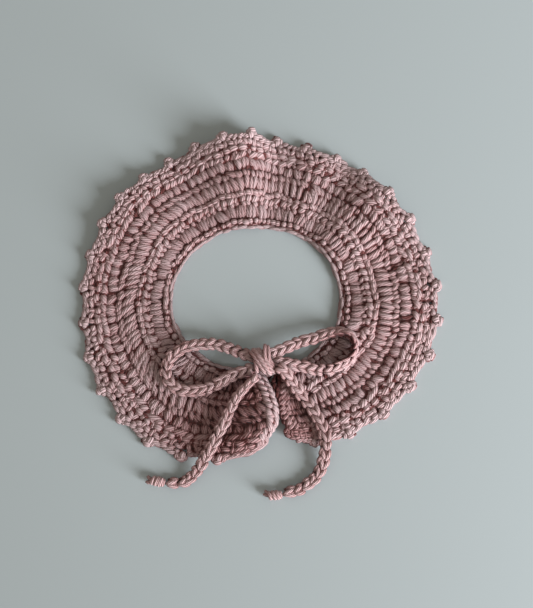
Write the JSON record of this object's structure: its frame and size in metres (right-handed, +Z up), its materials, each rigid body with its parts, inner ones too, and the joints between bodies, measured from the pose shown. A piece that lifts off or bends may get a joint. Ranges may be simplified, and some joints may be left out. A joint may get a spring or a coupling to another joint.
{
  "type": "crochet collar tied with a bow",
  "caption": "Flat round crocheted collar with a picot edge, an open neck and a crocheted cord tied in a bow at the front.",
  "frame": {"origin": "on the table under the middle of the collar's outline, the cord left out", "axes": "+Z up out of the table; +Y towards the back of the neck, so the bow lies at -Y; +X to the right as the collar is looked down on"},
  "size_m": [0.2176, 0.2222, 0.0173],
  "materials": {
    "crochet_cotton": "matte",
    "cord_cotton": "matte"
  },
  "bodies": {
    "root": {"neck_edging": "crochet_cotton", "inner_row": "crochet_cotton", "tall_row": "crochet_cotton", "outer_row": "crochet_cotton", "picot_border": "crochet_cotton", "left_loop": "cord_cotton", "right_loop": "cord_cotton", "left_tail": "cord_cotton", "right_tail": "cord_cotton", "left_tie": "cord_cotton", "right_tie": "cord_cotton", "bow_knot": "cord_cotton", "left_tail_knot": "cord_cotton", "right_tail_knot": "cord_cotton"}
  },
  "joints": []
}
